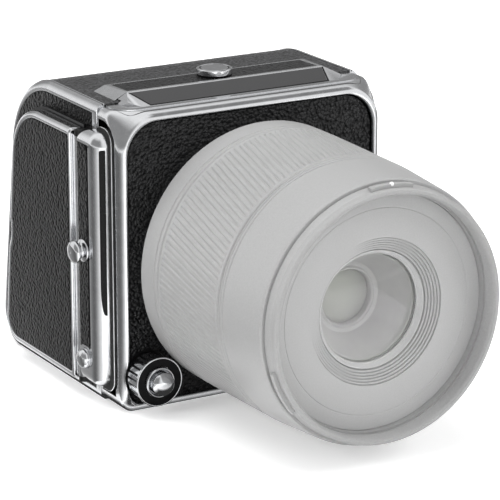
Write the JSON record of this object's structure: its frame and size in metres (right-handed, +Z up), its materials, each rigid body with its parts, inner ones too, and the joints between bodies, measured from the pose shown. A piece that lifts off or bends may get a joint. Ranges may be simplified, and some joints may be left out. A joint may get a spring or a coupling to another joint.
{
  "type": "medium format digital camera",
  "caption": "Boxy medium format camera: chrome-edged leather front body with lens, and a digital back with side door, top catch and tilting rear screen.",
  "frame": {"origin": "mouth of the tripod socket, in the middle of the base", "axes": "+Z up, the lens looks along -Y, +X to the right as seen from in front of the lens's rear, that is with +Y pointing to the rear screen"},
  "size_m": [0.1008, 0.1493, 0.0891],
  "materials": {
    "frame_chrome": "satin chrome plate on a light alloy casting",
    "polished_chrome": "polished chrome",
    "steel": "plain turned steel",
    "mount_chrome": "hard chrome, turned",
    "leather": "black grained covering",
    "black_plate": "black enamel",
    "gasket": "black rubber",
    "casting": "light alloy casting, painted matt black",
    "contact_brass": "bright contacts",
    "black_plastic": "fine matt black",
    "cell_pack": "matt grey",
    "board": "green lacquer",
    "lens_metal": "pale grey anodised",
    "lens_plate": "matt grey",
    "lens_glass": "coated glass"
  },
  "bodies": {
    "front_body": {"front_frame": "frame_chrome", "front_leather": "leather", "chassis": "casting", "name_block": "frame_chrome", "name_plate": "black_plate", "tripod_bush": "steel", "body_side_leathers": "leather", "side_blocks": "frame_chrome", "block_leathers": "leather", "block_gaskets": "gasket", "contact_window": "black_plate", "strap_lugs": "polished_chrome", "mount_ring": "mount_chrome", "mount_screws": "steel", "mount_contacts": "contact_brass", "shutter_collar": "polished_chrome"},
    "wheel": {"shutter_wheel": "polished_chrome", "wheel_face": "black_plate"},
    "shutter": {"shutter_button": "polished_chrome"},
    "lens_release": {"lens_release_button": "polished_chrome", "lens_lock_lever": "steel"},
    "side_press": {"side_button": "polished_chrome"},
    "digital_back": {"back_shell": "casting", "back_wrap": "leather", "back_rims": "frame_chrome", "back_side_leathers": "leather", "catch_bezel": "frame_chrome", "catch_leather": "leather", "sensor_frame": "black_plastic", "sensor_glass": "lens_glass", "main_board": "board", "battery": "cell_pack", "memory_cards": "cell_pack", "port_block": "black_plastic", "door_base": "black_plate", "hinge_pins": "steel", "screen_tray": "black_plastic"},
    "back_catch": {"catch_button": "polished_chrome", "catch_slider": "steel"},
    "side_door": {"door_frame": "frame_chrome", "door_leather": "leather", "door_barrel": "frame_chrome"},
    "port_flap": {"port_cover": "gasket"},
    "rear_screen": {"screen_frame": "black_plastic", "screen_glass": "lens_glass"},
    "menu_1": {"menu_button_1": "black_plastic"},
    "menu_2": {"menu_button_2": "black_plastic"},
    "menu_3": {"menu_button_3": "black_plastic"},
    "menu_4": {"menu_button_4": "black_plastic"},
    "lens": {"lens_mount": "mount_chrome", "rear_barrel": "lens_metal", "inner_barrel": "lens_metal", "front_barrel": "lens_metal", "filter_ring": "lens_metal", "lens_front_plate": "lens_plate", "front_element": "lens_glass", "inner_elements": "lens_glass", "lens_cells": "black_plastic", "shutter_unit": "black_plastic"},
    "focus": {"focus_ring": "lens_metal"}
  },
  "joints": [
    {"name": "back_draw", "type": "slide", "parent": "front_body", "child": "digital_back", "axis": [0, 1, 0], "range_m": [0, 0.045]},
    {"name": "catch_slide", "type": "slide", "parent": "digital_back", "child": "back_catch", "axis": [1, 0, 0], "range_m": [0, 0.0035], "stiffness_N_per_m": 300},
    {"name": "door_swing", "type": "hinge", "parent": "digital_back", "child": "side_door", "pos_m": [-0.045, 0.00975, 0.0417], "axis": [0, 0, 1], "range_deg": [0, 90]},
    {"name": "port_flap_swing", "type": "hinge", "parent": "digital_back", "child": "port_flap", "pos_m": [0.0421, 0.023, 0.0405], "axis": [0, 0, -1], "range_deg": [0, 110]},
    {"name": "screen_tilt", "type": "hinge", "parent": "digital_back", "child": "rear_screen", "pos_m": [0, 0.05984, 0.06568], "axis": [1, 0, 0], "range_deg": [0, 90]},
    {"name": "shutter_press", "type": "slide", "parent": "front_body", "child": "shutter", "axis": [0, 1, 0], "range_m": [0, 0.0012], "stiffness_N_per_m": 500},
    {"name": "wheel_turn", "type": "hinge", "parent": "front_body", "child": "wheel", "pos_m": [-0.0342, -0.0115, 0.0104], "axis": [0, 1, 0], "continuous": true},
    {"name": "lens_release_press", "type": "slide", "parent": "front_body", "child": "lens_release", "axis": [0, 1, 0], "range_m": [0, 0.0016], "stiffness_N_per_m": 600},
    {"name": "side_button_press", "type": "slide", "parent": "front_body", "child": "side_press", "axis": [1, 0, 0], "range_m": [0, 0.001], "stiffness_N_per_m": 500},
    {"name": "lens_twist", "type": "hinge", "parent": "front_body", "child": "lens", "pos_m": [0, -0.04, 0.0414], "axis": [0, 1, 0], "range_deg": [0, 60]},
    {"name": "focus_turn", "type": "hinge", "parent": "lens", "child": "focus", "pos_m": [0, -0.04, 0.0414], "axis": [0, 1, 0], "continuous": true},
    {"name": "menu_press_1", "type": "slide", "parent": "digital_back", "child": "menu_1", "axis": [0, -0.9876, -0.1568], "range_m": [0, 0.0008], "stiffness_N_per_m": 500},
    {"name": "menu_press_2", "type": "slide", "parent": "digital_back", "child": "menu_2", "axis": [0, -0.9876, -0.1568], "range_m": [0, 0.0008], "stiffness_N_per_m": 500},
    {"name": "menu_press_3", "type": "slide", "parent": "digital_back", "child": "menu_3", "axis": [0, -0.9876, -0.1568], "range_m": [0, 0.0008], "stiffness_N_per_m": 500},
    {"name": "menu_press_4", "type": "slide", "parent": "digital_back", "child": "menu_4", "axis": [0, -0.9876, -0.1568], "range_m": [0, 0.0008], "stiffness_N_per_m": 500}
  ]
}
